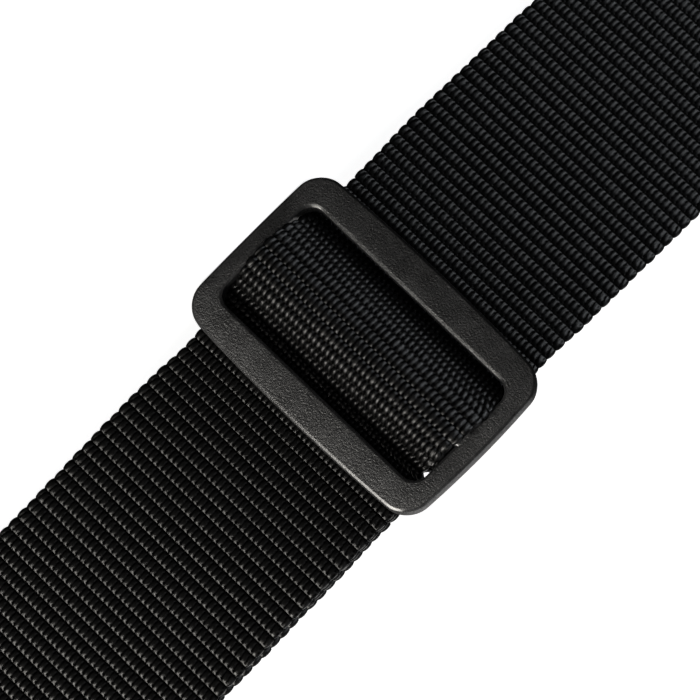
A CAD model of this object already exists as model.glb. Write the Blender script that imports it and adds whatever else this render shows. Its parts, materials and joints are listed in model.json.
# A webbing strap with a moulded adjuster, a loop ring and two leather tabs with button holes.
# It stands on edge in metres: Z runs across the webbing. The adjuster is at x = y = 0 with its
# front towards -Y, and both sides of the strap curve round towards +Y. The right side (+X) is
# doubled: it wraps the ring and comes back to close round the adjuster's centre bar.
import json
import math

import bmesh
import bpy
import numpy as np
from mathutils import Matrix, Vector

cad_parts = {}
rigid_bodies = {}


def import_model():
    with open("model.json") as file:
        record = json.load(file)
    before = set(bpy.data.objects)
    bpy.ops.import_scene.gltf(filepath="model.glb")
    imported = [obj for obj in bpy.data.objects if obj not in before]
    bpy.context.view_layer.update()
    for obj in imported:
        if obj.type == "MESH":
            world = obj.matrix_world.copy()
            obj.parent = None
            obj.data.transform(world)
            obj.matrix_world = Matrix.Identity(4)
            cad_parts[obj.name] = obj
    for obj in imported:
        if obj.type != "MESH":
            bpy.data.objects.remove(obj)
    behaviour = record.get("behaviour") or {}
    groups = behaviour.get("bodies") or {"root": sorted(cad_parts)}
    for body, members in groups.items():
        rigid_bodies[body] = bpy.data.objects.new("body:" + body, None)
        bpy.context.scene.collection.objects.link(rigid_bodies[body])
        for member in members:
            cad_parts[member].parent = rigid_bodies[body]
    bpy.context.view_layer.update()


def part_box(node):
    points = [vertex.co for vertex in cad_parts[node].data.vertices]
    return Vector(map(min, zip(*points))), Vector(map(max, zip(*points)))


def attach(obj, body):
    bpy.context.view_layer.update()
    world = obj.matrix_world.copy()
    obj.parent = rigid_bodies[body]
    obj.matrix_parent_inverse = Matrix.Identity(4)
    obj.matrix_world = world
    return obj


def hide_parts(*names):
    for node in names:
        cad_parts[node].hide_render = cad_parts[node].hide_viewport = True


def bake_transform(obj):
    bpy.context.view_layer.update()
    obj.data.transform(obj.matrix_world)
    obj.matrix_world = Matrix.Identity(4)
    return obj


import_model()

MM = 0.001

# --------------------------------------------------------------- strap layout
# s runs along the strap from the adjuster, positive to the right (+X); n runs inwards.
# w runs across the webbing, along Z from its middle.

FRAME_LOW, FRAME_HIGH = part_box("adjuster_frame")
MID_Z = 0.5 * (FRAME_LOW.z + FRAME_HIGH.z)
LAYER = 1.7 * MM                   # one thickness of webbing
HALF_WIDE = 25.0 * MM              # half the webbing's width
RIB = 2.36 * MM                    # pitch of the ribs along the strap
FLOAT = 1.15 * MM                  # pitch of the yarn floats along a rib

# plan of the outer layer: a shallow base arc, a corner at each end, then straight arms
BASE_Y = 3.7 * MM
BASE_RADIUS = 650 * MM
BASE_HALF = 140 * MM
CORNER_RADIUS = 75 * MM
RIGHT_TURN = math.radians(90)
LEFT_TURN = math.radians(96)

# the hump over the centre bar: round crest, straight flanks, tighter bends at its feet
CREST_Y = -5.7 * MM
CREST_RADIUS = 8.5 * MM
FOOT_RADIUS = 2.5 * MM
FLANK = math.radians(55)
FLANK_RUN = ((BASE_Y - CREST_Y) - (CREST_RADIUS + FOOT_RADIUS) * (1 - math.cos(FLANK))) \
    / math.tan(FLANK)
HUMP_HALF = (CREST_RADIUS + FOOT_RADIUS) * math.sin(FLANK) + FLANK_RUN
CREST_HALF = CREST_RADIUS * math.sin(FLANK)
CREST_DROP = CREST_RADIUS * (1 - math.cos(FLANK))

# centre bar of the adjuster
BAR_Y = -0.2 * MM
BAR_HALF_WIDE = 2.0 * MM
BAR_HALF_THICK = 1.95 * MM

# ring: its near bar is at RING_S, its far bar a pitch further on
RING_S = 378 * MM
RING_PITCH = 15 * MM
RING_N = 0.85 * MM
WRAP_RADIUS = 3.4 * MM

# tabs: the leathers part round the webbing up to TAB_WEB_END and meet from TAB_CLOSED on
TAB_START = 418 * MM
TAB_END = 530 * MM
TAB_WEB_END = 464 * MM
TAB_CLOSED = 475 * MM
TAB_HALF_WIDE = 29.4 * MM
TAB_HALF_TIP = 19 * MM
TIP_S = TAB_END - TAB_HALF_TIP     # where the tab's round tip begins
TAPER_FROM = 464 * MM
TAPER_TO = 507 * MM
TAB_CORNER = 4.0 * MM
HOLE_S = 511 * MM
HOLE_RADIUS = 4.6 * MM
SLIT_LENGTH = 12 * MM
SLIT_HALF = 0.6 * MM


def smooth(t):
    """Smooth step of one number, held to 0..1."""
    t = min(max(t, 0.0), 1.0)
    return t * t * (3.0 - 2.0 * t)


def ease(x, low, high):
    """Smooth step of an array from 0 at low to 1 at high."""
    t = np.clip((x - low) / (high - low), 0.0, 1.0)
    return t * t * (3.0 - 2.0 * t)


def bell(x, centre, width):
    """A smooth bump of height 1."""
    return np.exp(-((x - centre) / width) ** 2)


def dome(x, fall, root):
    """1 at x = 0, down to 0 at x = 1; a higher fall keeps the top flatter."""
    return (1 - x ** fall) ** root


def outer_layer(s):
    """Plan place (x, y) and heading of the outer layer before the hump is added."""
    side, turn = (1.0, RIGHT_TURN) if s >= 0 else (-1.0, LEFT_TURN)
    heading = min(abs(s), BASE_HALF) / BASE_RADIUS
    x = BASE_RADIUS * math.sin(heading)
    y = BASE_Y + BASE_RADIUS * (1.0 - math.cos(heading))
    rest = abs(s) - BASE_HALF
    if rest > 0:
        turned = min(heading + rest / CORNER_RADIUS, turn)
        x += CORNER_RADIUS * (math.sin(turned) - math.sin(heading))
        y += CORNER_RADIUS * (math.cos(heading) - math.cos(turned))
        rest -= (turn - heading) * CORNER_RADIUS
        heading = turned
        if rest > 0:
            x += rest * math.cos(heading)
            y += rest * math.sin(heading)
    return side * x, y, side * heading


def at(s, n):
    x, y, heading = outer_layer(s)
    return (x - n * math.sin(heading), y + n * math.cos(heading))


def hump(s):
    """How far inwards the hump moves the webbing at s; negative, as it climbs to the front."""
    away = abs(s)
    if away >= HUMP_HALF:
        return 0.0
    if away <= CREST_HALF:
        return CREST_Y - BASE_Y + CREST_RADIUS - math.sqrt(CREST_RADIUS ** 2 - away ** 2)
    if away <= CREST_HALF + FLANK_RUN:
        return CREST_Y - BASE_Y + CREST_DROP + (away - CREST_HALF) * math.tan(FLANK)
    return math.sqrt(FOOT_RADIUS ** 2 - (HUMP_HALF - away) ** 2) - FOOT_RADIUS


def corner_end(turn):
    return BASE_HALF + (turn - BASE_HALF / BASE_RADIUS) * CORNER_RADIUS


LEFT_CORNER = corner_end(LEFT_TURN)
RIGHT_CORNER = corner_end(RIGHT_TURN)


def lengths_along(path):
    """Arc length at each point of a path."""
    return np.concatenate([[0.0], np.cumsum(np.hypot(*np.diff(path, axis=0).T))])


def points_along(places, lengths, path):
    return np.stack([np.interp(places, lengths, path[:, k]) for k in (0, 1)], -1)


def tangents(path):
    steps = np.gradient(path, axis=0)
    return steps / np.linalg.norm(steps, axis=1)[:, None]


class Line:
    """A plan line by arc length, slightly softened, with unit normals on its left."""

    STEP = 0.1 * MM
    SOFTEN = 0.6 * MM

    def __init__(self, points):
        path = np.array(points, float)
        steps = np.hypot(*np.diff(path, axis=0).T)
        path = path[np.concatenate([[True], steps > 1e-9])]
        lengths = lengths_along(path)
        self.length = lengths[-1]
        self.places = np.linspace(0.0, self.length, int(round(self.length / self.STEP)) + 1)
        even = points_along(self.places, lengths, path)
        gap = self.places[1]
        reach = int(round(self.SOFTEN / gap))
        pad = 3 * reach
        kernel = np.exp(-0.5 * (np.arange(-pad, pad + 1) / reach) ** 2)
        kernel /= kernel.sum()
        head = 2 * even[0] - even[pad:0:-1]
        tail = 2 * even[-1] - even[-2:-pad - 2:-1]
        full = np.concatenate([head, even, tail])
        self.path = np.stack([np.convolve(full[:, k], kernel, "valid") for k in (0, 1)], 1)
        ahead = np.gradient(self.path, gap, axis=0)
        ahead /= np.linalg.norm(ahead, axis=1)[:, None]
        self.normals = np.stack([-ahead[:, 1], ahead[:, 0]], 1)

    def place(self, places):
        """Points and unit normals at the given arc lengths."""
        normals = points_along(places, self.places, self.normals)
        return (points_along(places, self.places, self.path),
                normals / np.linalg.norm(normals, axis=1)[:, None])


def span(start, end, step=0.25 * MM):
    count = max(2, int(abs(end - start) / step) + 1)
    return [start + (end - start) * i / (count - 1) for i in range(count)]


def arc(centre_x, centre_y, radius, start, end, count):
    """Points round an arc between two angles in degrees."""
    return [(centre_x + radius * math.cos(a), centre_y + radius * math.sin(a))
            for a in np.radians(np.linspace(start, end, count))]


def strap_line():
    """The main webbing as one line from the left tab, and the arc lengths of named places."""
    points, places = [], {}

    def mark(name):
        places[name] = float(np.hypot(*np.diff(np.array(points), axis=0).T).sum())

    def to_ring(s):
        return smooth((s - RING_S + 14 * MM) / (14 * MM))

    def sunk(s):
        """Both right-hand layers shift by one layer before the ring."""
        return LAYER * smooth((s - 300 * MM) / (45 * MM))

    def outer_n(s):
        if s < 0:
            return -LAYER * (1.0 - smooth((s + 405 * MM) / (105 * MM))) + hump(s)
        return -sunk(s) + (RING_N - WRAP_RADIUS + LAYER) * to_ring(s) + hump(s)

    def inner_n(s):
        n = 2 * LAYER - LAYER * smooth((s - 44 * MM) / (55 * MM)) + sunk(s)
        return n + (RING_N + WRAP_RADIUS - 2 * LAYER) * to_ring(s)

    def follow(offset, start, stops):
        for name, stop in stops:
            points.extend([at(s, offset(s)) for s in span(start, stop)])
            mark(name)
            start = stop

    def beside(start, end, distance):
        """The outer layer between two places, moved inwards square to itself."""
        base = np.array([at(s, hump(s)) for s in np.arange(start, end, 0.2 * MM)])
        ahead = tangents(base)
        return [tuple(q) for q in base + distance * np.stack([-ahead[:, 1], ahead[:, 0]], 1)]

    past_corner = RIGHT_CORNER + 3 * MM
    follow(outer_n, -TAB_WEB_END, (
        ("left_arm_end", -LEFT_CORNER - 3 * MM), ("left_end", -92 * MM), ("crest", 0.0),
        ("right_start", 92 * MM), ("right_end", past_corner), ("ring", RING_S)))
    points.extend([at(s, n) for s, n in arc(RING_S, RING_N, WRAP_RADIUS, -90, 90, 60)])
    follow(inner_n, RING_S, (
        ("return_start", past_corner), ("return_end", 74 * MM), ("foot", HUMP_HALF + 0.5 * MM)))

    # up the inside of the hump's right flank, then flat across to the bar
    reach = 1.0 * MM               # from the bar's faces to the middle of the webbing
    half_x = BAR_HALF_WIDE + reach
    half_y = BAR_HALF_THICK + reach
    corner = 1.8 * MM
    bend = 3.0 * MM
    beyond = 2 * LAYER + 0.05 * MM
    flat_y = BAR_Y + half_y
    flank_x = CREST_HALF - beyond * math.sin(FLANK)
    flank_y = CREST_Y + CREST_DROP + beyond * math.cos(FLANK)
    turn_x = flank_x + (flat_y - flank_y) / math.tan(FLANK) - bend * math.tan(0.5 * FLANK)
    resume = turn_x + bend * math.sin(FLANK) + beyond * math.sin(FLANK)
    points.extend(beside(resume + 0.5 * MM, HUMP_HALF, beyond)[::-1])
    points.extend([(turn_x + bend * math.sin(a), flat_y + bend * (1 - math.cos(a)))
                   for a in np.linspace(FLANK, 0, 20)])
    # round the bar's corners, then out under the hump
    for x, y, start, end in ((-half_x + corner, BAR_Y + half_y - corner, 90, 180),
                             (-half_x + corner, BAR_Y - half_y + corner, 180, 270),
                             (half_x - corner, BAR_Y - half_y + corner, 270, 305)):
        points.extend(arc(x, y, corner, start, end, 30))
    points.extend(beside(CREST_HALF - 0.4 * MM, 40 * MM, LAYER))
    mark("end")
    return Line(points), places


# ------------------------------------------------------------------ mesh tools

def make_mesh(name, verts, quads, tris=(), uv=None, values=None):
    """A smooth mesh, with an optional strap UV map and point attributes."""
    quads = np.asarray(quads, np.int32).reshape(-1, 4)
    tris = np.asarray(tris, np.int32).reshape(-1, 3)
    me = bpy.data.meshes.new(name)
    me.vertices.add(len(verts))
    me.vertices.foreach_set("co", np.asarray(verts, np.float32).ravel())
    corners = np.concatenate([quads.ravel(), tris.ravel()])
    me.loops.add(len(corners))
    me.loops.foreach_set("vertex_index", corners)
    starts = np.concatenate([np.arange(len(quads)) * 4, 4 * len(quads) + np.arange(len(tris)) * 3])
    me.polygons.add(len(starts))
    me.polygons.foreach_set("loop_start", starts.astype(np.int32))
    me.update(calc_edges=True)
    me.validate()
    shade_smooth(me)
    if uv is not None:
        layer = me.uv_layers.new(name="strap")
        layer.data.foreach_set("uv", np.asarray(uv, np.float32)[corners].ravel())
    for key, value in (values or {}).items():
        attribute = me.attributes.new(key, "FLOAT", "POINT")
        attribute.data.foreach_set("value", np.asarray(value, np.float32))
    me.update()
    return me


def shade_smooth(me):
    me.polygons.foreach_set("use_smooth", np.ones(len(me.polygons), bool))


def face_outwards(me):
    bm = bmesh.new()
    bm.from_mesh(me)
    bmesh.ops.recalc_face_normals(bm, faces=bm.faces)
    bm.to_mesh(me)
    bm.free()


def add_object(name, me, look=None):
    obj = bpy.data.objects.new(name, me)
    bpy.context.scene.collection.objects.link(obj)
    if look:
        me.materials.append(look)
    return obj


def register(obj, body, slot, node):
    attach(obj, body)
    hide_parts(node)


def tube_faces(rows, ring, flip=False):
    """Quads of an open-ended tube of `rows` rings with `ring` points each."""
    i = np.arange(rows - 1)[:, None] * ring
    j = np.arange(ring)[None, :]
    k = (j + 1) % ring
    quads = np.stack([i + j, i + k, i + ring + k, i + ring + j], -1).reshape(-1, 4)
    return quads[:, ::-1] if flip else quads


def end_strip(base, across_a, across_b, flip):
    """Triangles closing one end of a sheet, walked by the places across its two faces."""
    last_a, last_b = len(across_a) - 1, len(across_b) - 1
    top = base + len(across_a) + last_b
    tris = []
    i = j = 0
    while i < last_a or j < last_b:
        if j == last_b or (i < last_a and across_a[i + 1] <= across_b[j + 1]):
            tri = [base + i, base + i + 1, top - j]
            i += 1
        else:
            tri = [base + i, top - j - 1, top - j]
            j += 1
        tris.append(tri[::-1] if flip else tri)
    return tris


def sheet_faces(rows, first_end, last_end, flip):
    """Faces of a closed sheet whose rows run out along one face and back along the other.

    Each end is a pair of lists: the places across on the two faces."""
    ring = len(first_end[0]) + len(first_end[1])
    tris = end_strip(0, *first_end, flip) + end_strip((rows - 1) * ring, *last_end, not flip)
    return tube_faces(rows, ring, flip), tris


# ------------------------------------------------------------------- materials

class Look:
    """A node material with short helpers; a helper's input is a value or another's output."""

    def __init__(self, name):
        self.material = bpy.data.materials.new(name)
        self.material.use_nodes = True
        self.tree = self.material.node_tree
        self.surface = self.tree.nodes["Principled BSDF"]

    def put(self, socket, value):
        if hasattr(value, "is_output"):
            self.tree.links.new(value, socket)
        else:
            socket.default_value = value

    def node(self, kind, inputs=None, **settings):
        node = self.tree.nodes.new(kind)
        for key, value in settings.items():
            setattr(node, key, value)
        for key, value in (inputs or {}).items():
            self.put(node.inputs[key], value)
        return node

    def mapped(self, vector, scale, turn=0.0):
        return self.node("ShaderNodeMapping", {
            "Scale": scale, "Rotation": (0, 0, turn), "Vector": vector}).outputs["Vector"]

    def coords(self, scale=(1.0, 1.0, 1.0)):
        return self.mapped(self.node("ShaderNodeTexCoord").outputs["Object"], scale)

    def strap(self, scale, turn=0.0):
        """Coordinates along and across the webbing."""
        uv = self.node("ShaderNodeUVMap", uv_map="strap")
        return self.mapped(uv.outputs["UV"], scale, turn)

    def noise(self, vector, scale=1.0, detail=2.0, rough=0.5, distortion=0.0):
        return self.node("ShaderNodeTexNoise", {
            "Scale": scale, "Detail": detail, "Roughness": rough, "Distortion": distortion,
            "Vector": vector}).outputs["Fac"]

    def cells(self, vector, scale):
        """Distance from the borders of scattered cells."""
        return self.node("ShaderNodeTexVoronoi", {
            "Scale": scale, "Randomness": 1.0, "Vector": vector},
            feature="DISTANCE_TO_EDGE").outputs["Distance"]

    def math(self, operation, first, second=None):
        inputs = {0: first} if second is None else {0: first, 1: second}
        return self.node("ShaderNodeMath", inputs, operation=operation).outputs[0]

    def weighted(self, *parts):
        """Sum of (value, weight) pairs."""
        term = self.math("MULTIPLY", *parts[0])
        return self.math("ADD", term, self.weighted(*parts[1:])) if parts[1:] else term

    def ramp(self, fac, stops):
        node = self.node("ShaderNodeValToRGB", {"Fac": fac})
        elements = node.color_ramp.elements
        while len(elements) < len(stops):
            elements.new(0.5)
        for element, (position, colour) in zip(elements, stops):
            element.position = position
            element.color = (*colour, 1)
        return node.outputs["Color"]

    def span(self, value, given, to=(0.0, 1.0)):
        return self.node("ShaderNodeMapRange", {
            "From Min": given[0], "From Max": given[1], "To Min": to[0], "To Max": to[1],
            "Value": value}).outputs["Result"]

    def bump(self, height, distance, strength=1.0, normal=None):
        inputs = {"Strength": strength, "Distance": distance, "Height": height}
        if normal is not None:
            inputs["Normal"] = normal
        return self.node("ShaderNodeBump", inputs).outputs["Normal"]

    def set(self, key, value):
        self.put(self.surface.inputs[key], value)


def webbing_look():
    look = Look("black_webbing")
    fibre = look.noise(look.strap((900.0, 9000.0, 1.0), turn=0.10), detail=3.0, rough=0.6)
    yarn = look.noise(look.strap((150.0, 1500.0, 1.0), turn=0.12))
    patch = look.noise(look.strap((60.0, 60.0, 1.0)), detail=3.0, rough=0.55)
    tone = look.weighted((fibre, 0.45), (yarn, 0.35), (patch, 0.20))
    opening = look.node("ShaderNodeAttribute", attribute_name="opening").outputs["Fac"]
    colour = look.ramp(tone, [(0.30, (0.0019, 0.00185, 0.0019)),
                              (0.52, (0.0030, 0.0029, 0.0030)),
                              (0.74, (0.0056, 0.0054, 0.0056))])
    # the grooves and slots are darker and duller than the open floats
    shade = look.node("ShaderNodeMixRGB", {"Fac": 1.0, "Color1": colour, "Color2": opening},
                      blend_type="MULTIPLY")
    look.set("Base Color", shade.outputs["Color"])
    look.set("Roughness", look.span(fibre, given=(0.3, 0.75), to=(0.27, 0.40)))
    open_specular = 0.42
    look.set("Specular IOR Level", look.math("MULTIPLY", opening, open_specular))
    normal = look.bump(yarn, distance=0.00010, strength=0.5)
    look.set("Normal", look.bump(fibre, distance=0.00005, strength=0.6, normal=normal))
    return look.material


def plastic_look(name, tint, rough_range, grain=1.0, edge_rough=None):
    look = Look(name)
    vector = look.coords()
    fine = look.noise(vector, scale=5200.0, detail=1.0, rough=0.6)
    mid = look.noise(vector, scale=2500.0, rough=0.6)
    wide = look.noise(vector, scale=170.0, detail=3.0, rough=0.55)
    speck = look.weighted((mid, 0.65), (fine, 0.35))
    tone = look.weighted((speck, 0.6), (wide, 0.4))
    dark = tuple(0.42 * c for c in tint)
    light = tuple(1.80 * c for c in tint)
    look.set("Base Color", look.ramp(tone, [(0.36, dark), (0.5, tint), (0.64, light)]))
    rough = look.span(wide, given=(0.35, 0.65), to=rough_range)
    look.set("Specular IOR Level", 0.5)
    normal = look.bump(mid, distance=0.00018 * grain)
    normal = look.bump(fine, distance=0.00008 * grain, normal=normal)
    if edge_rough is not None:
        # the rounded edges are smoother than the grained faces
        geometry = look.node("ShaderNodeNewGeometry")
        axes = look.node("ShaderNodeSeparateXYZ", {0: geometry.outputs["Normal"]})
        face_on = look.math("ABSOLUTE", axes.outputs["Y"])
        front = look.span(face_on, given=(0.88, 0.97))
        sides = look.math("SUBTRACT", 1.0, look.span(face_on, given=(0.62, 0.76)))
        flat = look.math("MAXIMUM", front, sides)
        extra = look.math("MULTIPLY", flat, look.math("SUBTRACT", rough, edge_rough))
        rough = look.math("ADD", extra, edge_rough)
        for node in [n for n in look.tree.nodes if n.bl_idname == "ShaderNodeBump"]:
            look.put(node.inputs["Strength"], look.span(flat, given=(0.0, 1.0), to=(0.10, 1.0)))
    look.set("Roughness", rough)
    look.set("Normal", normal)
    return look.material


def leather_look():
    look = Look("black_leather")
    vector = look.coords()
    large = look.cells(vector, scale=780.0)
    small = look.cells(vector, scale=1900.0)
    wide = look.noise(vector, scale=45.0, detail=4.0, rough=0.6)
    pores = look.noise(vector, scale=2600.0, rough=0.6)
    height = look.math("ADD", look.span(large, given=(0.0, 0.16)),
                       look.math("MULTIPLY", look.span(small, given=(0.0, 0.14)), 0.4))
    tone = look.weighted((height, 0.32), (wide, 0.6))
    look.set("Base Color", look.ramp(tone, [(0.25, (0.008, 0.0075, 0.0072)),
                                            (0.55, (0.016, 0.0150, 0.0142)),
                                            (0.85, (0.026, 0.0242, 0.0228))]))
    look.set("Roughness", look.span(wide, given=(0.3, 0.7), to=(0.42, 0.60)))
    look.set("Specular IOR Level", 0.45)
    normal = look.bump(height, distance=0.00011, strength=0.8)
    look.set("Normal", look.bump(pores, distance=0.00003, strength=0.6, normal=normal))
    return look.material


def suede_look():
    look = Look("leather_backing")
    vector = look.coords()
    nap = look.noise(vector, scale=2400.0, detail=4.0, rough=0.75, distortion=0.6)
    brushed = look.noise(look.coords((90.0, 90.0, 420.0)), detail=3.0, rough=0.6, distortion=0.8)
    wide = look.noise(vector, scale=38.0, detail=4.0, rough=0.6)
    tone = look.weighted((nap, 0.4), (brushed, 0.3), (wide, 0.3))
    look.set("Base Color", look.ramp(tone, [(0.30, (0.020, 0.0175, 0.016)),
                                            (0.5, (0.036, 0.032, 0.029)),
                                            (0.70, (0.058, 0.052, 0.047))]))
    look.set("Roughness", 0.93)
    look.set("Specular IOR Level", 0.2)
    look.set("Sheen Weight", 0.25)
    look.set("Sheen Roughness", 0.5)
    normal = look.bump(brushed, distance=0.00012, strength=0.5)
    look.set("Normal", look.bump(nap, distance=0.00014, strength=0.9, normal=normal))
    return look.material


def thread_look():
    look = Look("black_thread")
    vector = look.coords()
    fibre = look.noise(vector, scale=6500.0, rough=0.6)
    wide = look.noise(vector, scale=300.0)
    tone = look.weighted((fibre, 0.6), (wide, 0.4))
    look.set("Base Color", look.ramp(tone, [(0.3, (0.022, 0.022, 0.023)),
                                            (0.7, (0.060, 0.060, 0.062))]))
    look.set("Roughness", look.span(fibre, given=(0.3, 0.7), to=(0.42, 0.62)))
    look.set("Sheen Weight", 0.15)
    look.set("Normal", look.bump(fibre, distance=0.00005, strength=0.7))
    return look.material


WEBBING = webbing_look()
PLASTIC = plastic_look("adjuster_plastic", tint=(0.024, 0.0242, 0.0252),
                       rough_range=(0.34, 0.44), edge_rough=0.20)
RING_PLASTIC = plastic_look("ring_plastic", tint=(0.022, 0.0225, 0.024),
                            rough_range=(0.32, 0.46), grain=0.7)
LEATHER = leather_look()
SUEDE = suede_look()
THREAD = thread_look()

# --------------------------------------------------------------------- webbing
# Random unevenness by rib number, by rib and float, and by rib and edge.

rng = np.random.RandomState(7)
RIB_LIFT = rng.normal(0, 1, 1200)
FLOAT_LIFT = rng.normal(0, 1, (1200, 64))
EDGE_PUSH = rng.normal(0, 1, (1200, 2))

# mesh rows as fractions of a rib, and columns as fractions of a float
FINE_ROWS = np.array([0.0, 0.05, 0.13, 0.20, 0.27, 0.38, 0.5, 0.62, 0.73, 0.80, 0.87, 0.95])
FINE_COLS = np.array([0.0, 0.07, 0.20, 0.43, 0.5, 0.57, 0.70, 0.93])
PLAIN_ROWS = np.array([0.0, 0.06, 0.25, 0.5, 0.75, 0.94])
PLAIN_COLS = np.array([0.0, 0.5])
RIM_COLS = np.array([0.0, 0.06, 0.24, 0.52]) * MM      # in from the edge

# half-thickness in a groove and on top of a rib
GROOVE = 0.36 * MM
CREST = 0.80 * MM


def weave(rib, rib_place, across, slot_depth, apart, sign):
    """Half-thickness and openness at each row (rib and place on it) and column (across)."""
    side = (2 * rib_place - 1)[:, None]
    a = np.abs(side)
    # a rib falls away gently on one flank and steeply on the other
    rise = np.where(side > 0, dome(a, fall=2.1, root=0.70), dome(a, fall=3.3, root=0.74))
    # the floats lean a little, and more towards the webbing's edges
    slant = 0.06 + 0.55 * np.sign(across) * ease(np.abs(across), 21.5 * MM, 25 * MM)[None, :]
    v = across[None, :] / FLOAT + 0.5 * (rib[:, None] % 2) \
        + sign * slant * (rib_place[:, None] - 0.5)
    cell = np.floor(v).astype(int)
    b = np.abs(2 * (v - cell) - 1)
    loose = FLOAT_LIFT[rib[:, None], cell + 32]
    # a slot between two floats is a thin dash with a small hole at each end, closed again
    # before the groove; where floats stand apart it stays open and widens to the groove
    apart = apart[:, None]
    slot_wide = 0.22 + 0.27 * bell(a, centre=0.58, width=0.14) \
        + 0.34 * apart * ease(a, 0.5, 1.0) + 0.03 * loose
    slot = (1 - ease(1 - b, 0.0, slot_wide)) * (1 - 0.80 * (1 - apart) * ease(a, 0.66, 0.86))
    # uneven ribs and floats, each float slightly rounded across
    lift = 1 + 0.030 * RIB_LIFT[rib][:, None] + 0.045 * loose
    h = GROOVE + (CREST - GROOVE) * rise * lift * (1 - 0.07 * b ** 2.5)
    opening = (1 - 0.97 * ease(slot, 0.05, 0.60)) * (1 - 0.92 * ease(a, 0.84, 0.98))
    return h - slot_depth[:, None] * slot * (0.35 + 0.65 * rise), opening


def columns(kind):
    """Places across one face, closely set at the rounded edges."""
    if kind == "flat":
        inner = np.linspace(-HALF_WIDE + 1.2 * MM, HALF_WIDE - 1.2 * MM, 9)
    else:
        fractions = FINE_COLS if kind == "fine" else PLAIN_COLS
        inner = (np.arange(-22, 22)[:, None] + fractions[None, :]).ravel() * FLOAT
        inner = inner[np.abs(inner) < HALF_WIDE - 0.75 * MM]
    rim = HALF_WIDE - RIM_COLS
    return np.concatenate([-rim, inner, rim[::-1]])


def adjuster_shaping(x, y):
    """How the webbing's edges change near the adjuster, at each row.

    Returns the top edge's move in, the bottom edge's move out, the narrowing of both and
    the rise of the whole width."""
    # the top edge is pinched beside the centre bar and stands out over the crest
    pinch = bell(x, 8.8 * MM, 1.3 * MM) * ease(50 * MM - y, 0.0, 30 * MM)
    depth = 1.05 * MM + 0.272 * np.clip(y, 0, 8 * MM)
    swell = 1.08 * MM * bell(x, -4.6 * MM, 2.6 * MM) * ease(-y, 0.0, 3 * MM)
    swell = swell + 0.95 * MM * bell(x, 0.0, 3.4 * MM) * ease(-y, 3 * MM, 4.5 * MM)
    # the bottom edge spreads between the long bars
    inside = ease(50 * MM - y, 0.0, 20 * MM) * (1 - ease(np.abs(x), 12.5 * MM, 16 * MM))
    flare = inside * (0.27 * np.clip(y + 0.8 * MM, 0, 5 * MM) + 0.10 * MM)
    # both edges draw in just outside the long bars
    slim = 0.40 * MM * bell(np.abs(x), 21 * MM, 8 * MM)
    rise = 0.28 * MM * bell(np.hypot(x, y), 0.0, 24 * MM)
    return pinch * depth - swell, flare, slim, rise


def slot_amount(t):
    """Slots are deep where the webbing bends over the adjuster, and shallower away from it."""
    away = abs(t - CENTRE_T)
    return 0.56 + 0.30 * (1.0 - smooth((away - 24 * MM) / (20 * MM)))


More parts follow.
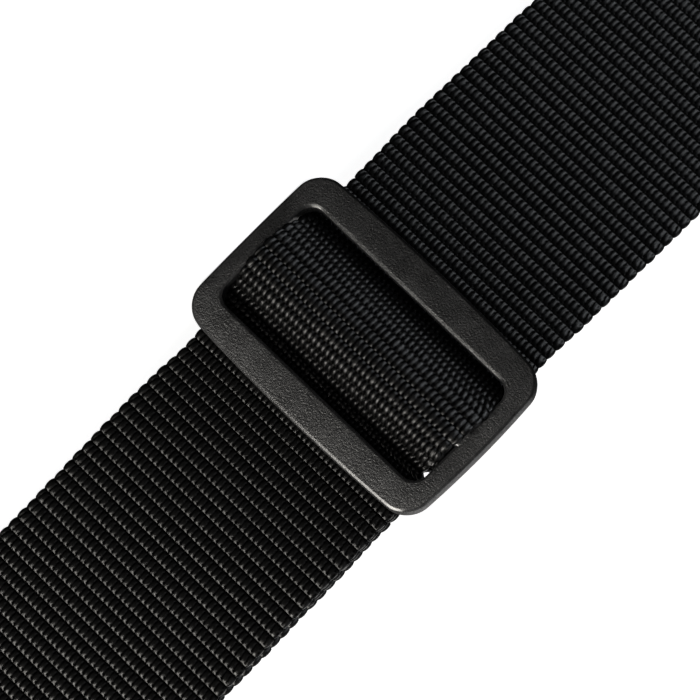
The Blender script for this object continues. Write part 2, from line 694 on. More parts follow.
def ribbon(name, line, grooves, start, end, outer="plain", inner="plain", body="strap_body",
           pressed=1.0, inside_of=None):
    """A closed length of webbing on edge along a line, cut in the grooves between ribs.

    The outer face is on the line's right, the inner on its left, towards the bars. A face is
    fine, plain or flat. body is a name, or two names with the s where the blend between them
    starts and ends. pressed scales the inner face's thickness; inside_of keeps the edges
    within this distance of the middle."""
    first, last = (int(np.argmin(np.abs(grooves - place))) for place in (start, end))
    fractions = FINE_ROWS if outer == "fine" else PLAIN_ROWS
    rib = np.append(np.repeat(np.arange(first, last), len(fractions)), last - 1)
    rib_place = np.append(np.tile(fractions, last - first), 1.0)
    t = np.interp(rib + rib_place, np.arange(len(grooves)), grooves)
    t = np.clip(t, 0.0, line.length)
    middle, normal = line.place(t)
    x, y = middle[:, 0], middle[:, 1]
    rows = len(t)
    a = np.abs(2 * rib_place - 1)
    apart = ease(24 * MM - np.hypot(x, y), 0.0, 10 * MM)
    slot = np.array([slot_amount(q) if outer == "fine" else 0.50 for q in t]) * 0.5 * MM
    scallop = (0.30 * dome(a, fall=2, root=0.8) - 0.12) * MM
    top_in, bottom_out, slim, rise = adjuster_shaping(x, y)

    def face(cols, sign, kind):
        """Signed distance from the line, and openness, over one face."""
        if kind == "flat":
            level = np.ones((1, len(cols)))
            h = (GROOVE + (CREST - GROOVE) * 0.85 * dome(a, fall=2.4, root=0.72))[:, None] * level
            opening = (1 - 0.9 * ease(a, 0.84, 1.0))[:, None] * level
        else:
            share = 0.50 if kind == "plain" else 1.0
            h, opening = weave(rib, rib_place, cols, slot * share, apart, sign)
            if kind == "plain":
                # few points to a float: each stands for a larger, mostly open patch
                opening = 1 - 0.40 * (1 - opening)
        edge = np.clip((HALF_WIDE - np.abs(cols)) / (0.8 * MM), 0, 1)
        rim = np.sqrt(np.clip(1 - (1 - edge) ** 2, 0, 1))
        return h * (0.12 + 0.88 * rim[None, :]) * sign * (pressed if sign > 0 else 1.0), opening

    def across(cols):
        """Place across of every point of a face."""
        far = ease(np.abs(cols), HALF_WIDE - 1.6 * MM, HALF_WIDE)
        side = (cols > 0).astype(int)
        push = scallop[:, None] + 0.05 * MM * EDGE_PUSH[rib[:, None], side[None, :]]
        drawn = top_in[:, None] * ease(cols, 0.35 * HALF_WIDE, HALF_WIDE)[None, :]
        drawn = drawn + bottom_out[:, None] * ease(-cols, 0.5 * HALF_WIDE, HALF_WIDE)[None, :]
        wide = cols[None, :] * (1 - slim[:, None] / HALF_WIDE)
        w = wide + np.sign(cols)[None, :] * far[None, :] * push - drawn + rise[:, None]
        if inside_of is None:
            return w
        # pull an edge that stands out back in, and its neighbours with it
        low, high = w.min(1, keepdims=True), w.max(1, keepdims=True)
        over = np.where(w > 0, np.clip(high - inside_of, 0, None),
                        -np.clip(-inside_of - low, 0, None))
        # an edge below the middle is only pulled when it lies inside its own limit
        return w - over * np.clip(np.abs(w) / inside_of, 0, 1) ** 8

    def world(h, w):
        flat = [middle[:, None, k] + normal[:, None, k] * h for k in (0, 1)]
        return np.stack([*flat, MID_Z + w], -1)

    cols_out, cols_in = columns(outer), columns(inner)
    (h_out, open_out), (h_in, open_in) = face(cols_out, -1, outer), face(cols_in, 1, inner)
    grid = np.concatenate([world(h_out, across(cols_out)),
                           world(h_in, across(cols_in))[:, ::-1]], 1)
    uv = np.empty((rows, grid.shape[1], 2))
    uv[..., 0] = t[:, None]
    uv[..., 1] = np.concatenate([cols_out, cols_in[::-1]])[None, :]
    opening = np.concatenate([open_out, open_in[:, ::-1]], 1).ravel()
    ends = (cols_out, cols_in)
    quads, tris = sheet_faces(rows, ends, ends, flip=True)
    me = make_mesh(name, grid.reshape(-1, 3), quads, tris, uv=uv.reshape(-1, 2),
                   values={"opening": opening})
    obj = add_object(name, me, WEBBING)
    if isinstance(body, str):
        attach(obj, body)
    else:
        body_from, body_to, s_from, s_to = body
        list(at(s_from, 0))
        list(at(s_to, 0))
        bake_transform(obj)
    return obj


def count_out(place, pitches, direction, limit):
    """Groove places from the first outwards; pitches are (number of pitches so far, mm)."""
    found = []
    while abs(place) < limit:
        found.append(place)
        pitch = next((size * MM for last, size in pitches if len(found) <= last), RIB)
        place += direction * pitch
    return found


def main_grooves(centre, length):
    """Where the grooves lie along the main webbing, counted out both ways from the crest."""
    ahead = count_out(2.44 * MM, ((4, 2.43), (9, 2.33), (36, 2.385)), 1,
                      length - centre - 0.3 * RIB)
    behind = count_out(0.015 * MM, ((6, 2.37), (11, 2.17), (36, 2.262)), -1,
                       centre - 0.3 * RIB)
    return np.concatenate([[0.0], np.array(behind[::-1] + ahead) + centre, [length]])


def rear_loop_line():
    """The short webbing from inside the rear tab, round the ring's far bar and back."""
    centre, close = RING_S + RING_PITCH, TAB_START - 4 * MM
    low, high = RING_N - 0.5 * LAYER, RING_N + 0.5 * LAYER
    rise = RING_N + WRAP_RADIUS
    points = [at(s, low) for s in span(TAB_WEB_END, close)]
    points += [at(close + (centre - close) * i / 60,
                  low + (RING_N - WRAP_RADIUS - low) * smooth(i / 60)) for i in range(61)]
    points += [at(centre - WRAP_RADIUS * math.sin(a), RING_N - WRAP_RADIUS * math.cos(a))
               for a in np.radians(np.linspace(0, 180, 60))]
    points += [at(centre + (close - centre) * i / 60,
                  rise + (high - RING_N - WRAP_RADIUS) * smooth(i / 60)) for i in range(61)]
    points += [at(s, high) for s in span(close, TAB_WEB_END)]
    return Line(points[::-1])


main, places = strap_line()
CENTRE_T = places["crest"]
GROOVES = main_grooves(CENTRE_T, main.length)
UNDER_LEFT = CENTRE_T - 14.2 * MM
UNDER_RIGHT = CENTRE_T + 14.2 * MM

# name, start, end, outer face, inner face, other settings
MAIN_PIECES = (
    ("front_arm", 0.0, places["left_arm_end"], "plain", "plain",
     {"body": ("strap_body", "front_end", -LEFT_CORNER - 4 * MM, -406 * MM)}),
    ("left_side", places["left_arm_end"], places["left_end"], "plain", "plain", {}),
    ("adjuster_left", places["left_end"], UNDER_LEFT, "fine", "plain", {}),
    ("over_bar", UNDER_LEFT, UNDER_RIGHT, "fine", "flat", {}),
    ("adjuster_right", UNDER_RIGHT, places["right_start"], "fine", "flat", {}),
    ("right_side", places["right_start"], places["right_end"], "plain", "flat", {}),
    ("ring_turn", places["right_end"], places["return_start"], "plain", "plain",
     {"body": ("strap_body", "ring_wrap", RIGHT_CORNER + 4 * MM, 346 * MM), "pressed": 0.84}),
    ("return", places["return_start"], places["return_end"], "plain", "flat", {}),
    ("bar_loop", places["return_end"], places["end"], "plain", "plain",
     {"pressed": 0.82, "inside_of": 25.28 * MM}),
)
webbing = {}
for piece, start, end, outer, inner, settings in MAIN_PIECES:
    webbing[piece] = ribbon(f"webbing_{piece}", main, GROOVES, start, end, outer, inner,
                            **settings)

rear_line = rear_loop_line()
rear_grooves = np.linspace(0.0, rear_line.length, int(round(rear_line.length / RIB)) + 1)
webbing["rear_loop"] = ribbon("webbing_rear_loop", rear_line, rear_grooves,
                              0.0, rear_line.length, body="rear_tab")

for piece, node in (("over_bar", "main_webbing"), ("return", "return_webbing"),
                    ("front_arm", "front_webbing"), ("ring_turn", "ring_wrap_webbing"),
                    ("rear_loop", "rear_tab_webbing")):
    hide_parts(node)


# --------------------------------------------------------- moulded frame pieces

QUADRANTS = ((1, 1), (-1, 1), (-1, -1), (1, -1))


def rounded_loop(half_x, half_z, corner, bow_x=0.0, bow_z=0.0,
                 arc_count=14, long_count=44, short_count=28):
    """Points round a rectangle with round corners and bowed sides.

    Two loops with the same counts match point for point."""
    points = []

    def bowed(x, z):
        share_x = 1.0 - min(abs(z) / (half_z - 0.4 * corner), 1.0) ** 2
        share_z = 1.0 - min(abs(x) / (half_x - 0.4 * corner), 1.0) ** 2
        out_x = bow_x * share_x * smooth((abs(x) - half_x + corner) / corner)
        out_z = bow_z * share_z * smooth((abs(z) - half_z + corner) / corner)
        return x + math.copysign(out_x, x), z + math.copysign(out_z, z)

    for q, (side_x, side_z) in enumerate(QUADRANTS):
        centre_x, centre_z = side_x * (half_x - corner), side_z * (half_z - corner)

        def on_arc(a):
            return centre_x + corner * math.cos(a), centre_z + corner * math.sin(a)

        points += [on_arc(math.radians(90 * q + 90 * i / arc_count)) for i in range(arc_count)]
        start = on_arc(math.radians(90 * (q + 1)))
        next_x, next_z = QUADRANTS[(q + 1) % 4]
        if q % 2 == 0:
            end, count = (next_x * (half_x - corner), start[1]), short_count
        else:
            end, count = (start[0], next_z * (half_z - corner)), long_count
        for i in range(count):
            f = i / count
            points.append((start[0] + (end[0] - start[0]) * f, start[1] + (end[1] - start[1]) * f))
    return np.array([bowed(x, z) for x, z in points])


# front edge of the adjuster's bars: a narrow sloping land, (distance in, depth) in mm
LAND = np.array([(0.0, 0.50), (0.02, 0.42), (0.07, 0.355), (0.13, 0.31), (0.30, 0.20),
                 (0.47, 0.095), (0.58, 0.035), (0.68, 0.008), (0.80, 0.0)]) * MM
OUTER_LAND = 0.8                   # size of the land on the outer edge against the inner


def section(width, thick, radius, crown_front, crown_back, land):
    """Bar section as (u from the inner edge, y), front towards -y, running round once."""
    half = 0.5 * thick
    points = []

    def corner(u, y, start):
        for i in range(7):
            a = math.radians(start + 90 * i / 6)
            points.append((u + radius * math.cos(a), y + radius * math.sin(a)))

    def crowned(start, end, y, crown):
        for i in range(1, 12):
            f = i / 12
            points.append((start + (end - start) * f, y + crown * (1 - (2 * f - 1) ** 2)))

    if land:
        points.extend((u, -half + depth) for u, depth in LAND)
        crowned(LAND[-1, 0], width - OUTER_LAND * LAND[-1, 0], -half, -crown_front)
        points.extend((width - OUTER_LAND * u, -half + OUTER_LAND * depth)
                      for u, depth in LAND[::-1])
    else:
        corner(radius, -half + radius, 180)
        crowned(radius, width - radius, -half, -crown_front)
        corner(width - radius, -half + radius, 270)
    corner(width - radius, half - radius, 0)
    crowned(width - radius, radius, half, crown_back)
    corner(radius, half - radius, 90)
    return np.array(points)


def swept_frame(outer, inner, thick, radius, crown_front=0.0, crown_back=0.0,
                tilt=None, land=False):
    """A closed loop of bar sections between two outlines, as points (x, y, z) and quads."""
    rings = []
    for near, far in zip(inner, outer):
        outwards = far - near
        width = float(np.hypot(*outwards))
        outwards = outwards / width
        u, y = section(width, thick, radius, crown_front, crown_back, land).T
        if tilt is not None:
            y = y + tilt(far, u / width, y)
        rings.append(np.stack([near[0] + outwards[0] * u, y, near[1] + outwards[1] * u], 1))
    grid = np.array(rings)
    rows, ring = grid.shape[:2]
    i = np.arange(rows)[:, None]
    j = np.arange(ring)[None, :]
    next_row, next_j = (i + 1) % rows * ring, (j + 1) % ring
    quads = np.stack([i * ring + j, next_row + j, next_row + next_j, i * ring + next_j], -1)
    return grid.reshape(-1, 3), quads.reshape(-1, 4)


def centre_bar():
    """The adjuster's straight bar along Z, with rounded edges and softened ends."""
    low, high = MID_Z - 26.4 * MM, MID_Z + 26.4 * MM
    soft = 0.3 * MM
    loop = rounded_loop(BAR_HALF_WIDE, BAR_HALF_THICK, 0.8 * MM,
                        arc_count=6, long_count=6, short_count=8)
    count = int((high - low) / (2 * MM))
    levels = [low, low + 0.3 * soft, low + soft]
    levels += [low + soft + (high - low - 2 * soft) * i / count for i in range(1, count)]
    levels += [high - soft, high - 0.3 * soft, high]
    scales = [0.86, 0.95, 1.0] + [1.0] * (count - 1) + [1.0, 0.95, 0.86]
    rings = [np.stack([loop[:, 0] * f, BAR_Y + loop[:, 1] * f, np.full(len(loop), z)], 1)
             for z, f in zip(levels, scales)]
    rows, ring = len(rings), len(loop)
    ends = np.array([(0.0, BAR_Y, low), (0.0, BAR_Y, high)])
    tris = []
    for base, tip, step in ((0, rows * ring, -1), ((rows - 1) * ring, rows * ring + 1, 1)):
        tris += [[base + j, base + (j + 1) % ring, tip][::step] for j in range(ring)]
    return np.concatenate(rings + [ends]), tube_faces(rows, ring), np.array(tris)


def make_adjuster():
    half_x, half_z = 18.5 * MM, 29.4 * MM
    bow_x, bow_z = 0.83 * MM, 0.66 * MM
    right_half_x = 18.72 * MM              # the right long bar stands out a little
    window_x, window_z = 12.2 * MM, 25.4 * MM
    left_window_x = 11.98 * MM             # the window is a little narrower on the left
    outer = rounded_loop(half_x - bow_x, half_z - bow_z, 4.8 * MM, bow_x, bow_z)
    outer[:, 0] *= half_x / outer[:, 0].max()
    outer[:, 1] *= half_z / outer[:, 1].max()
    inner = rounded_loop(window_x, window_z, 3.0 * MM)
    outer[:, 0] = np.where(outer[:, 0] > 0, outer[:, 0] * right_half_x / half_x, outer[:, 0])
    inner[:, 0] = np.where(inner[:, 0] < 0, inner[:, 0] * left_window_x / window_x, inner[:, 0])

    def tilt(far, f, y):
        """The faces fall away towards the outside, most at the bottom; the backs stay flat."""
        bottom = max(1 - (far[0] / (13.0 * MM)) ** 2, 0.0) if far[1] < 0 else 0.0
        side = max(abs(far[0]) / half_x, (0.55 + 1.5 * bottom) * abs(far[1]) / half_z)
        front = np.clip((0.5 * MM - y) / (1.5 * MM), 0, 1)
        return front * 0.62 * MM * side * f

    verts, quads = swept_frame(outer, inner, thick=4.0 * MM, radius=0.60 * MM,
                               crown_front=0.08 * MM, crown_back=0.03 * MM, tilt=tilt, land=True)
    verts[:, 1] += BAR_Y
    verts[:, 2] += MID_Z
    bar_verts, bar_quads, bar_tris = centre_bar()
    me = make_mesh("adjuster", np.concatenate([verts, bar_verts]),
                   np.concatenate([quads, bar_quads + len(verts)]), bar_tris + len(verts))
    obj = add_object("adjuster", me, PLASTIC)
    register(obj, "adjuster", "adjuster_plastic", "adjuster_frame")
    return obj


def make_ring():
    bar = 4.4 * MM
    half = 0.5 * (RING_PITCH + bar)
    counts = {"arc_count": 10, "long_count": 30, "short_count": 10}
    outer = rounded_loop(half, 29.3 * MM, 4.5 * MM, **counts)
    inner = rounded_loop(half - bar, 25.4 * MM, 1.6 * MM, **counts)
    verts, quads = swept_frame(outer, inner, thick=4.0 * MM, radius=1.5 * MM)
    # local x runs along the strap, local y inwards through the ring's thickness
    mid = RING_S + 0.5 * RING_PITCH
    heading = outer_layer(mid)[2]
    along = np.array([math.cos(heading), math.sin(heading), 0.0])
    inward = np.array([-math.sin(heading), math.cos(heading), 0.0])
    centre = np.array([*at(mid, RING_N), MID_Z])
    upward = np.array([0, 0, 1.0])
    verts = centre + verts[:, :1] * along + verts[:, 1:2] * inward + verts[:, 2:] * upward
    obj = add_object("strap_ring", make_mesh("ring_piece", verts, quads), RING_PLASTIC)
    register(obj, "ring", "ring_plastic", "loop_ring")


adjuster = make_adjuster()
make_ring()


# ----------------------------------------------------------------- leather tabs
# side is 1 for the tab on the right (rear_tab) and -1 for the one on the left (front_tab).
# outward is -1 for a leather on the outside of the strap and 1 for one on the inside.

def box_lines(start, end, half, inset_s=0.0, inset_w=0.0):
    """Four sides and two diagonals of a box seam; the diagonals stop short by the insets."""
    corners = [(start, -half), (end, -half), (end, half), (start, half), (start, -half)]
    low, high, w = start + inset_s, end - inset_s, half - inset_w
    return list(zip(corners[:-1], corners[1:])) + [((low, -w), (high, w)), ((low, w), (high, -w))]


BOX_SIZE = (TAB_START + 6 * MM, TAB_WEB_END - 4 * MM, 21 * MM)     # start, end, half width
BOX = box_lines(*BOX_SIZE)
EDGE_SEAM = 3.2 * MM               # from the tab's edge to its seam
STITCH_PITCH = 3.1 * MM
STITCH_GAP = 0.75 * MM


def tab_half(s):
    """Half width of a tab: rounded start corners, a smooth taper and a round tip."""
    if s < TAB_START + TAB_CORNER:
        back = TAB_CORNER - (s - TAB_START)
        return TAB_HALF_WIDE - TAB_CORNER + math.sqrt(max(TAB_CORNER ** 2 - back * back, 0.0))
    if s < TAPER_FROM:
        return TAB_HALF_WIDE
    if s < TAPER_TO:
        taper = smooth((s - TAPER_FROM) / (TAPER_TO - TAPER_FROM))
        return TAB_HALF_WIDE + (TAB_HALF_TIP - TAB_HALF_WIDE) * taper
    if s < TIP_S:
        return TAB_HALF_TIP
    return math.sqrt(max(TAB_HALF_TIP ** 2 - (s - TIP_S) ** 2, 0.0))


def tab_outline(inset, count=400):
    """The tab's edge as equally spaced (s, w) points, moved inwards by inset."""
    stations = [*np.linspace(TAB_START, TAB_START + TAB_CORNER, 24),
                *np.linspace(TAB_START + TAB_CORNER, TIP_S, 120)]
    half = [(s, tab_half(s)) for s in stations] + arc(TIP_S, 0.0, TAB_HALF_TIP, 88, 0, 60)
    path = np.array(half + [(s, -w) for s, w in reversed(half[:-1])])
    ahead = np.gradient(path, axis=0)
    ahead[0] = ahead[-1] = (0.0, 1.0)
    ahead /= np.linalg.norm(ahead, axis=1)[:, None]
    path = path + inset * np.stack([ahead[:, 1], -ahead[:, 0]], 1)
    lengths = lengths_along(path)
    return points_along(np.linspace(0, lengths[-1], count), lengths, path)


def tab_points(side, s, n, w):
    """World points of a tab, which goes on straight from its start."""
    x, y, heading = outer_layer(side * TAB_START)
    cos, sin = math.cos(heading), math.sin(heading)
    along = s - TAB_START
    parts = (x + along * (cos * side) - n * sin, y + along * (sin * side) + n * cos, MID_Z + w)
    return np.stack(np.broadcast_arrays(*parts), -1)


def leather_n(s, parted, closed):
    """n of a leather's middle: parted round the webbing, then closed."""
    run = TAB_CLOSED - TAB_WEB_END - 1 * MM
    return parted + (closed - parted) * smooth((s - TAB_WEB_END - 1 * MM) / run)


def value_noise(x, y, seed):
    """Smooth noise on a unit lattice, from -1 to 1."""
    lattice = np.random.RandomState(seed).uniform(-1, 1, (256, 256))
    i, j = np.floor(x).astype(int), np.floor(y).astype(int)
    u, v = x - i, y - j
    u, v = u * u * (3 - 2 * u), v * v * (3 - 2 * v)
    near, far = (lattice[i % 256, k % 256] * (1 - u) + lattice[(i + 1) % 256, k % 256] * u
                 for k in (j, j + 1))
    return near * (1 - v) + far * v


def cell_edges(x, y, seed):
    """Second nearest less nearest distance to scattered points: 0 on a cell's border."""
    scatter = np.random.RandomState(seed).uniform(0, 1, (64, 64, 2))
    i, j = np.floor(x).astype(int), np.floor(y).astype(int)
    best, second = np.full(x.shape, 9.0), np.full(x.shape, 9.0)
    for di in (-1, 0, 1):
        for dj in (-1, 0, 1):
            offset = scatter[(i + di) % 64, (j + dj) % 64]
            d = np.hypot(i + di + offset[..., 0] - x, j + dj + offset[..., 1] - y)
            second = np.where(d < best, best, np.minimum(second, d))
            best = np.minimum(best, d)
    return second - best


def to_segments(s, w, segments):
    """Distance to the nearest of some segments."""
    nearest = np.full(s.shape, 1.0)
    for (s0, w0), (s1, w1) in segments:
        ds, dw = s1 - s0, w1 - w0
        f = np.clip(((s - s0) * ds + (w - w0) * dw) / (ds * ds + dw * dw), 0, 1)
        nearest = np.minimum(nearest, np.hypot(s - s0 - f * ds, w - w0 - f * dw))
    return nearest


def leather_relief(s, w, edge, rounded, seed, grain):
    """Height of a leather's visible face above its plain shape."""
    s_mm, w_mm = s / MM, w / MM
    cells = cell_edges(s_mm / 1.5 + 9, w_mm / 1.5 + 9, seed)
    box = to_segments(s, w, BOX)
    hole = np.hypot(s - HOLE_S, w) - HOLE_RADIUS
    # slow waves and grain
    h = 0.05 * MM * value_noise(s_mm / 9 + 40, w_mm / 9 + 40, seed) * rounded
    h = h + grain * (np.clip(cells / 0.32, 0, 1) - 0.6) * rounded
    # the edge seam's furrow and a fine crease outside it
    h = h - 0.16 * MM * bell(edge, EDGE_SEAM, 0.50 * MM)
    h = h - 0.10 * MM * bell(edge, 1.7 * MM, 0.16 * MM)
    # the box seam's furrow, with the leather raised beside it
    h = h - 0.17 * MM * bell(box, 0.0, 0.55 * MM)
    h = h + 0.10 * MM * np.clip(1 - np.abs(box - 3.5 * MM) / (3.0 * MM), 0, 1) * rounded
    # the button hole's edge is pressed in
    return h - 0.14 * MM * np.exp(-np.clip(hole, 0, None) / (0.8 * MM))


def leather_mesh(name, side, parted, closed, thick, outward, seed, grain):
    """One leather before its hole is cut: a fine visible face and a coarse hidden one."""
    stations = [TAB_START + x * MM for x in (0.0, 0.05, 0.16, 0.34, 0.6)]
    stations += list(np.arange(TAB_START + 0.9 * MM, TIP_S, 0.42 * MM))
    stations += [TIP_S + TAB_HALF_TIP * math.sin(a) for a in np.linspace(0, 0.5 * math.pi, 74)[:-1]]
    s = np.array(stations)
    half = np.array([tab_half(x) for x in s])
    rim = np.array([0.0, 0.06, 0.2, 0.42, 0.75]) * MM

    def across(count):
        room = np.maximum(half - 1.1 * MM, 0.35 * half)
        low = -(half[:, None] - np.minimum(rim[None, :], 0.6 * half[:, None]))
        middle = np.linspace(-1, 1, count)[1:-1][None, :] * room[:, None]
        return np.concatenate([low, middle, -low[:, ::-1]], 1)

    def height(w, visible):
        along = s[:, None] + 0 * w
        edge = np.minimum(half[:, None] - np.abs(w), np.maximum(s - TAB_START, 0)[:, None])
        edge = np.where(along > TIP_S, TAB_HALF_TIP - np.hypot(along - TIP_S, w), edge)
        edge = np.clip(edge, 0, None)
        rounded = np.clip(edge / (0.7 * MM), 0, 1)
        h = 0.5 * thick * (0.50 + 0.50 * np.sqrt(1 - (1 - rounded) ** 2))
        return h + leather_relief(along, w, edge, rounded, seed, grain) if visible else h

    middle_n = np.array([leather_n(x, parted, closed) for x in s])
    w_pair, n_pair = [], []
    for direction in (-1, 1):
        visible = direction == outward
        w = across(136 if visible else 26)
        w_pair.append(w)
        n_pair.append(middle_n[:, None] + direction * height(w, visible))
    w, n = (np.concatenate([first, second[:, ::-1]], 1) for first, second in (w_pair, n_pair))
    quads, tris = sheet_faces(len(s), [w[0] for w in w_pair], [w[-1] for w in w_pair],
                              flip=side > 0)
    return make_mesh(name, tab_points(side, s[:, None], n, w).reshape(-1, 3), quads, tris)


def hole_cutter(side, closed, thick):
    """Solid of the button hole with its slit, flared at both faces of the leather."""
    half_slit = math.asin(SLIT_HALF / HOLE_RADIUS)
    loop = [(HOLE_S + HOLE_RADIUS * math.cos(a), HOLE_RADIUS * math.sin(a))
            for a in np.linspace(math.pi - half_slit, -math.pi + half_slit, 64)]
    slit_end = HOLE_S - HOLE_RADIUS - SLIT_LENGTH
    loop += [(slit_end + SLIT_HALF * math.cos(a), SLIT_HALF * math.sin(a))
             for a in np.linspace(1.5 * math.pi, 0.5 * math.pi, 12)]
    loop = np.array(loop)
    ahead = np.roll(loop, -1, 0) - np.roll(loop, 1, 0)
    ahead /= np.linalg.norm(ahead, axis=1)[:, None]
    out = np.stack([-ahead[:, 1], ahead[:, 0]], 1)
    half = 0.5 * thick
    flare = 0.42 * MM
    rings = []
    for level, wider in ((-2.0 * thick, flare), (-half - 0.1 * MM, flare),
                         (-half + 0.35 * MM, 0.0), (half - 0.35 * MM, 0.0),
                         (half + 0.1 * MM, flare), (2.0 * thick, flare)):
        ring = loop + out * wider
        rings.append(tab_points(side, ring[:, 0], closed + level, ring[:, 1]))
    verts, count = np.array(rings).reshape(-1, 3), len(loop)
    faces = [list(map(int, quad)) for quad in tube_faces(len(rings), count)]
    faces += [list(range(count))[::-1], list(range(len(verts) - count, len(verts)))]
    me = bpy.data.meshes.new("cutter")
    me.from_pydata([tuple(v) for v in verts], [], faces)
    face_outwards(me)
    return add_object("cutter", me)


def leather_plate(name, side, parted, closed, thick, look, outward, seed, grain):
    me = leather_mesh(name, side, parted, closed, thick, outward, seed, grain)
    obj = add_object(name, me, look)
    cutter = hole_cutter(side, closed, thick)
    mod = obj.modifiers.new("button_hole", "BOOLEAN")
    mod.operation = "DIFFERENCE"
    mod.solver = "EXACT"
    mod.object = cutter
    bpy.context.view_layer.update()
    graph = bpy.context.evaluated_depsgraph_get()
    cut = bpy.data.meshes.new_from_object(obj.evaluated_get(graph))
    obj.modifiers.clear()
    obj.data = cut
    cut.name = name
    bpy.data.objects.remove(cutter)
    cut.materials.clear()
    cut.materials.append(look)
    shade_smooth(cut)
    cut.set_sharp_from_angle(angle=math.radians(50))
    return obj


def stitch_run(points):
    """Pairs of stitch ends, evenly spaced along a polyline of (s, w)."""
    path = np.array(points)
    lengths = lengths_along(path)
    count = max(1, int(round(lengths[-1] / STITCH_PITCH)))
    step = lengths[-1] / count
    return [[points_along(place, lengths, path)
             for place in (i * step + 0.5 * STITCH_GAP, (i + 1) * step - 0.5 * STITCH_GAP)]
            for i in range(count)]


def box_stitches(size, inset_s, inset_w):
    return [pair for line in box_lines(*size, inset_s, inset_w) for pair in stitch_run(line)]


def stitches(name, pairs, place, body, node, radius=0.30 * MM, lift=0.16 * MM):
    """Short plied threads lying on a surface; place(s, w, h) gives a point h above it."""
    around, rings = 10, 9
    sunk = 0.26 * MM               # depth of a stitch's ends below the surface
    overrun = 0.25 * MM            # how far each end runs on into the surface
    verts, quads, tris = [], [], []
    for number, (start, end) in enumerate(pairs):
        ahead = end - start
        ahead = ahead / float(np.hypot(*ahead))
        side = np.array([-ahead[1], ahead[0]])
        start, end = start - ahead * overrun, end + ahead * overrun
        base = len(verts)
        for r in range(rings):
            f = r / (rings - 1)
            middle = start + (end - start) * f
            bow = 1 - (2 * f - 1) ** 4
            h = lift * bow - sunk * (1 - bow)
            thick = radius * (0.55 + 0.45 * math.sqrt(max(1 - (2 * f - 1) ** 6, 0)))
            twist = 5.0 * f + 0.7 * number
            for j in range(around):
                a = 2 * math.pi * j / around
                ply = thick * (1 + 0.13 * math.cos(2 * (a - twist)))
                s, w = middle + side * ply * math.cos(a)
                verts.append(place(s, w, h + ply * math.sin(a)))
        quads.extend((base + tube_faces(rings, around, flip=True)[:, [3, 2, 1, 0]])[:, [0, 3, 2, 1]])
        for row, (s, w), step in ((0, start, 1), (rings - 1, end, -1)):
            verts.append(place(s, w, -sunk))
            row_base = base + row * around
            tris += [[row_base + j, row_base + (j + 1) % around, len(verts) - 1][::step]
                     for j in range(around)]
    me = make_mesh(name, np.array(verts), quads, tris)
    face_outwards(me)
    shade_smooth(me)
    register(add_object(name, me, THREAD), body, "thread", node)


def make_tab(tab, side, body, web_n, half_stack):
    """Both leathers of a tab, each with its stitches; half_stack is half the webbing's stack."""
    for part, seam, outward, thick, look, slot, seed, grain in (
            ("leather", "stitching", -1, 2.0 * MM, LEATHER, "leather", 11, 0.055 * MM),
            ("backing", "back_stitching", 1, 1.6 * MM, SUEDE, "leather_backing", 23, 0.012 * MM)):
        parted = web_n + outward * (half_stack + 0.3 * MM + 0.5 * thick)
        closed = web_n + outward * (0.15 * MM + 0.5 * thick)
        plate = leather_plate(f"{tab}_{part}_piece", side, parted, closed, thick, look,
                              outward, seed + side, grain)
        register(plate, body, slot, f"{tab}_{part}")

        def place(s, w, h):
            surface = leather_n(s, parted, closed) + outward * (0.5 * thick - 0.16 * MM)
            return tab_points(side, s, surface + outward * h, w)

        pairs = box_stitches(BOX_SIZE, 1.2 * MM, 1.4 * MM) + stitch_run(EDGE_LINE[6:-6])
        stitches(f"{tab}_{seam}_threads", pairs, place, body, f"{tab}_{seam}")


def bar_loop_place(s, w, h):
    return (*at(s, 2 * LAYER + 0.66 * MM + h), MID_Z + w)


EDGE_LINE = tab_outline(EDGE_SEAM)
make_tab("front_tab", -1, "front_end", web_n=-LAYER, half_stack=0.7 * MM)
make_tab("rear_tab", 1, "rear_tab", web_n=RING_N, half_stack=1.55 * MM)

# box of stitches that closes the loop round the adjuster's centre bar
stitches("bar_loop_threads", box_stitches((17 * MM, 37 * MM, 20 * MM), 0.8 * MM, 1.5 * MM),
         bar_loop_place, "strap_body", "bar_loop_stitching", radius=0.32 * MM, lift=0.26 * MM)


# ------------------------------------------------------------------- stage

def make_floor():
    """A large matt floor that looks evenly bright to the camera only."""
    half = 15
    me = bpy.data.meshes.new("floor")
    me.from_pydata([(-half, -half, 0), (half, -half, 0), (half, half, 0), (-half, half, 0)],
                   [], [(0, 1, 2, 3)])
    floor = add_object("floor", me)
    floor.location.z = -0.05 * MM
    look = Look("floor")
    look.set("Base Color", (0.82, 0.82, 0.82, 1))
    look.set("Roughness", 0.9)
    look.set("Specular IOR Level", 0.1)
    camera_ray = look.node("ShaderNodeLightPath").outputs["Is Camera Ray"]
    look.set("Emission Color", (1, 1, 1, 1))
    look.set("Emission Strength", look.math("MULTIPLY", camera_ray, 0.80))
    me.materials.append(look.material)
    floor.visible_diffuse = False
    floor.visible_glossy = False


def make_world():
    """White to the camera, nearly dark as a light."""
    world = bpy.data.worlds.new("studio")
    bpy.context.scene.world = world
    world.use_nodes = True
    tree = world.node_tree
    background = tree.nodes["Background"]
    background.inputs["Color"].default_value = (1, 1, 1, 1)
    path = tree.nodes.new("ShaderNodeLightPath")
    strength = tree.nodes.new("ShaderNodeMapRange")
    strength.inputs["To Min"].default_value = 0.03
    strength.inputs["To Max"].default_value = 1.0
    tree.links.new(path.outputs["Is Camera Ray"], strength.inputs["Value"])
    tree.links.new(strength.outputs["Result"], background.inputs["Strength"])


CENTRE = Vector((0.0, 0.0, MID_Z))


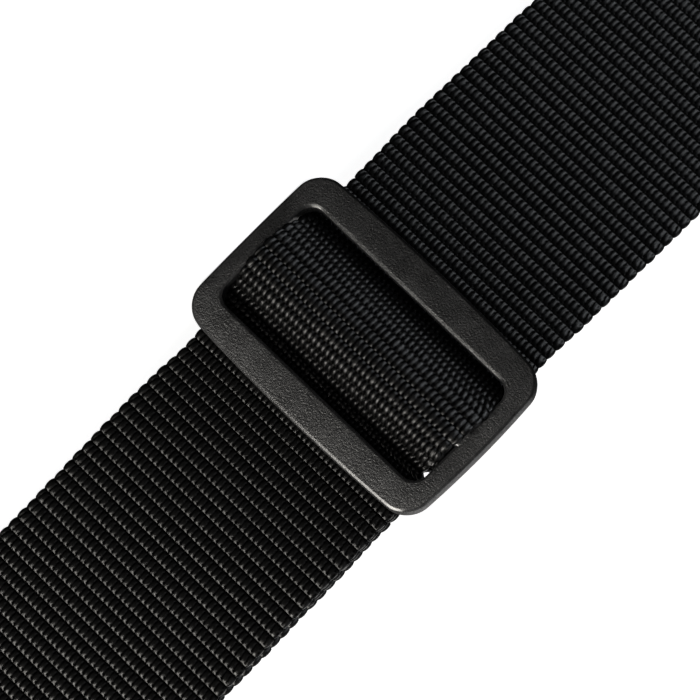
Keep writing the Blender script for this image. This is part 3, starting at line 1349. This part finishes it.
def area_light(name, place, size, energy, colour, target=CENTRE, only=(), spared=()):
    """An area light aimed at target, kept to some pieces or off those that flags would shade."""
    light = bpy.data.lights.new(name, "AREA")
    light.shape = "RECTANGLE"
    light.size, light.size_y = size
    light.energy = energy
    light.color = colour
    obj = add_object(name, light)
    obj.location = place
    obj.visible_camera = False
    obj.rotation_mode = "QUATERNION"
    obj.rotation_quaternion = (Vector(target) - Vector(place)).to_track_quat("-Z", "Y")
    if only or spared:
        group = bpy.data.collections.new(name + ("_reach" if only else "_lights"))
        for piece in only or bpy.context.scene.objects:
            if piece.type == "MESH" and piece not in spared:
                group.objects.link(piece)
        obj.light_linking.receiver_collection = group


def round_about(azimuth, elevation, distance):
    """A place round the adjuster, with azimuth from the front (-Y) towards +X, in degrees."""
    a, e = math.radians(azimuth), math.radians(elevation)
    return (distance * math.sin(a) * math.cos(e), -distance * math.cos(a) * math.cos(e),
            MID_Z + distance * math.sin(e))


WARM = (1.0, 0.965, 0.90)
COOL = (0.90, 0.95, 1.0)
OVER_BAR = (webbing["over_bar"],)
LEFT_PIECES = tuple(webbing[k] for k in ("adjuster_left", "left_side", "over_bar", "front_arm"))
RIGHT_PIECES = (webbing["adjuster_right"], webbing["right_side"], adjuster)

# warm light raking from the doubled right side, cooler light from the left, a weak front light
# name, (azimuth, elevation, distance), (size, size_y), energy, colour, only, spared
LIGHTS = (
    ("key", (48, 6, 0.60), (0.42, 0.30), 1.9, WARM, (adjuster,), ()),
    ("key_strip", (65, 5, 1.30), (0.62, 0.80), 28.5, WARM, (), LEFT_PIECES),
    ("key_bar", (68, 5, 1.30), (0.50, 0.80), 20.0, WARM, OVER_BAR, ()),
    ("cool", (-36, 10, 0.90), (0.84, 0.72), 4.2, COOL, (), RIGHT_PIECES),
    ("cool_strip", (-72, 8, 0.90), (0.22, 0.70), 2.4, COOL, (), RIGHT_PIECES),
    ("low_warm", (32, 8, 0.60), (0.10, 0.30), 0.20, WARM, OVER_BAR, ()),
    ("low_cool", (-28, 8, 0.60), (0.10, 0.30), 0.12, COOL, OVER_BAR, ()),
    ("front", (-14, 30, 1.6), (0.5, 0.5), 0.8, (0.97, 0.98, 1.0), (), ()),
)


def make_camera():
    azimuth, elevation, roll = (math.radians(a) for a in (-4.92, 15.23, 133.69))
    distance = 0.9736
    forward = Vector((math.sin(azimuth) * math.cos(elevation),
                      math.cos(azimuth) * math.cos(elevation), -math.sin(elevation)))
    right = Vector((math.cos(azimuth), -math.sin(azimuth), 0.0))
    up = right.cross(forward)
    rolled_right = right * math.cos(roll) + up * math.sin(roll)
    rolled_up = -right * math.sin(roll) + up * math.cos(roll)
    data = bpy.data.cameras.new("camera")
    data.sensor_width = 36.0
    data.lens = 281.5714286
    data.shift_x = -0.0202857143
    data.shift_y = -0.00742857143
    data.clip_start = 0.05
    data.clip_end = 60.0
    camera = add_object("camera", data)
    turn = Matrix((rolled_right, rolled_up, -forward)).transposed()
    camera.matrix_world = Matrix.Translation(CENTRE - forward * distance) @ turn.to_4x4()
    bpy.context.scene.camera = camera


make_floor()
make_world()
for name, where, size, energy, colour, only, spared in LIGHTS:
    area_light(name, round_about(*where), size, energy, colour, only=only, spared=spared)
area_light("top", (0.10, 0.25, 1.30), size=(1.2, 1.2), energy=2.0, colour=(0.94, 0.97, 1.0),
           target=(0, 0.2, 0))
area_light("back", (0.3, 1.5, 0.7), size=(1.2, 0.8), energy=5.0, colour=(1.0, 0.99, 0.97),
           target=(0, 0.2, 0.03))
make_camera()

bpy.context.scene.view_settings.view_transform = "Standard"
bpy.context.scene.view_settings.look = "None"
